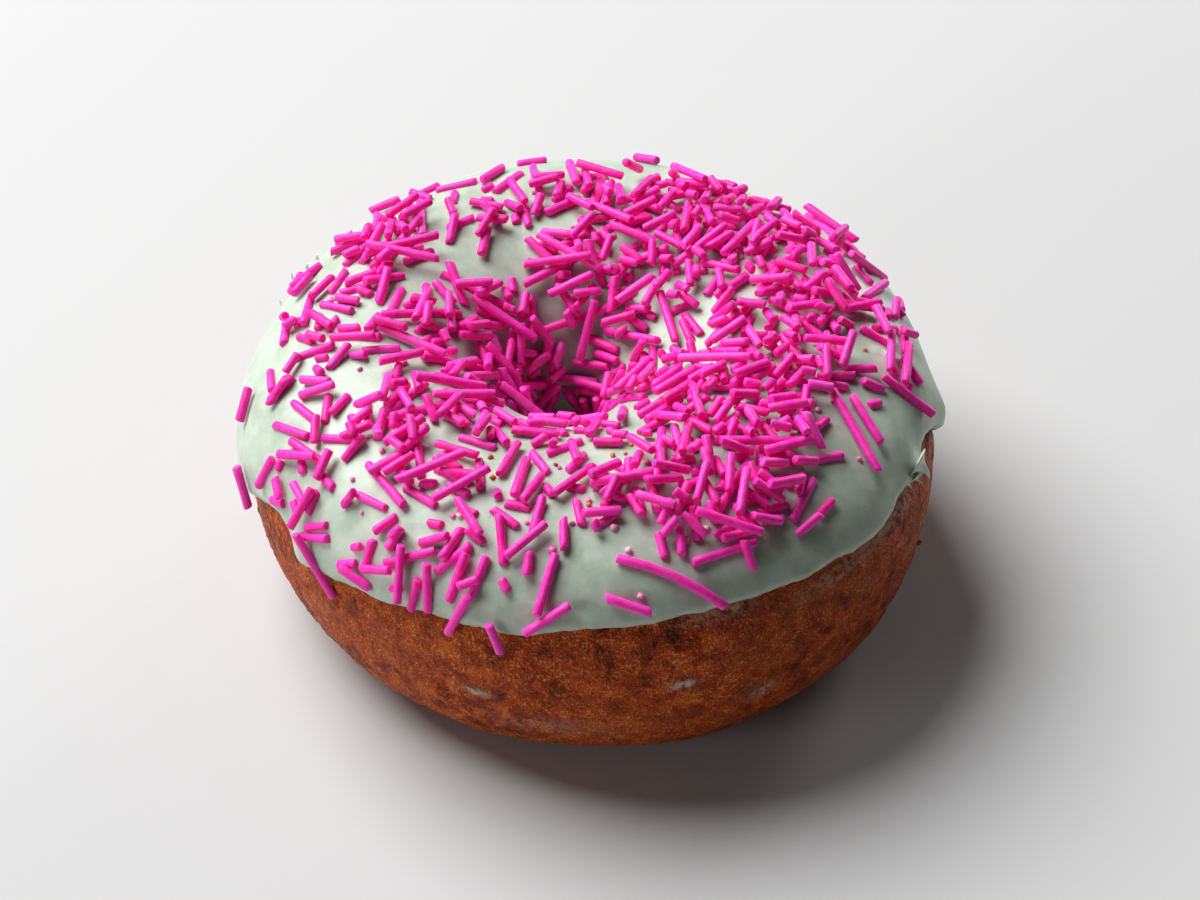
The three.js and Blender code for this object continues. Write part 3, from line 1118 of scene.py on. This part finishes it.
def make_light(name, azimuth, elevation, distance, size, power):
    """A round lamp that faces the doughnut: its direction in degrees, metres away, metres across, watts."""
    lamp = bpy.data.lights.new(name, "AREA")
    lamp.shape = "DISK"
    lamp.size = size
    lamp.energy = power
    light = bpy.data.objects.new(name, lamp)
    a, e = math.radians(azimuth), math.radians(elevation)
    direction = Vector((math.cos(a) * math.cos(e), math.sin(a) * math.cos(e), math.sin(e)))
    light.location = Vector((0, 0, HALF_HEIGHT)) + direction * distance
    light.rotation_mode = "QUATERNION"
    light.rotation_quaternion = direction.to_track_quat("Z", "Y")
    bpy.context.scene.collection.objects.link(light)


def make_world():
    """A dim even light, behind which the camera sees a pale backdrop."""
    world = bpy.data.worlds.new("studio")
    world.use_nodes = True
    nodes, links = world.node_tree.nodes, world.node_tree.links
    dim = nodes["Background"]
    dim.inputs["Color"].default_value = (1, 1, 1, 1)
    dim.inputs["Strength"].default_value = 0.03
    seen = nodes.new("ShaderNodeBackground")
    seen.inputs["Color"].default_value = (0.80, 0.80, 0.80, 1)
    path = nodes.new("ShaderNodeLightPath")
    mix = nodes.new("ShaderNodeMixShader")
    links.new(path.outputs["Is Camera Ray"], mix.inputs[0])
    links.new(dim.outputs[0], mix.inputs[1])
    links.new(seen.outputs[0], mix.inputs[2])
    links.new(mix.outputs[0], nodes["World Output"].inputs["Surface"])
    bpy.context.scene.world = world
    bpy.context.scene.view_settings.view_transform = "Standard"


# The doughnut ---------------------------------------------------------------------------------------------

make_camera()
crust = fried_crust()
dough = make_dough(crust)
icing = make_icing(set_icing("mint_icing", 0.3, 0.0))
# The tips get a paler copy of the icing: painted light that lightens the shade falling on their steep sides.
make_tips(icing, set_icing("mint_icing_tip_painted_light", 0.0, 0.7))
sugar = pink_sugar()

chance = random.Random(11)
pile = Pile(icing, dough)
strand_nodes = sorted(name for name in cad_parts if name.startswith("sprinkle_"))
for node in strand_nodes:
    line = frame_line(node)
    pile.add(line)
    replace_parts(make_strands(node.replace("sprinkle", "strand"), [line], chance, sugar), node)

laid = scatter(pile)
for k, side in enumerate(("right", "back", "left", "front")):
    lines = [line for a, line in laid if int(((a + 45) % 360) // 90) == k]
    make_strands(f"strands_{side}", lines, chance, sugar)
make_crumbs("sugar_crumbs", SUGAR_CRUMBS, (0.28, 0.62), 1, pile, chance, clear_sugar())
make_crumbs("biscuit_crumbs", BISCUIT_CRUMBS, (0.22, 0.36), 4, pile, chance, biscuit())
make_crumbs("crust_crumb", CRUST_CRUMBS, (0.5, 0.55), 1, pile, chance, crust)

make_floor()
make_light("key", 138, 50, 1.5, 1.3, 44)
make_light("side", 208, 8, 1.2, 0.6, 4.4)
make_light("rim", 56, 12, 1.2, 0.4, 4.0)
make_world()
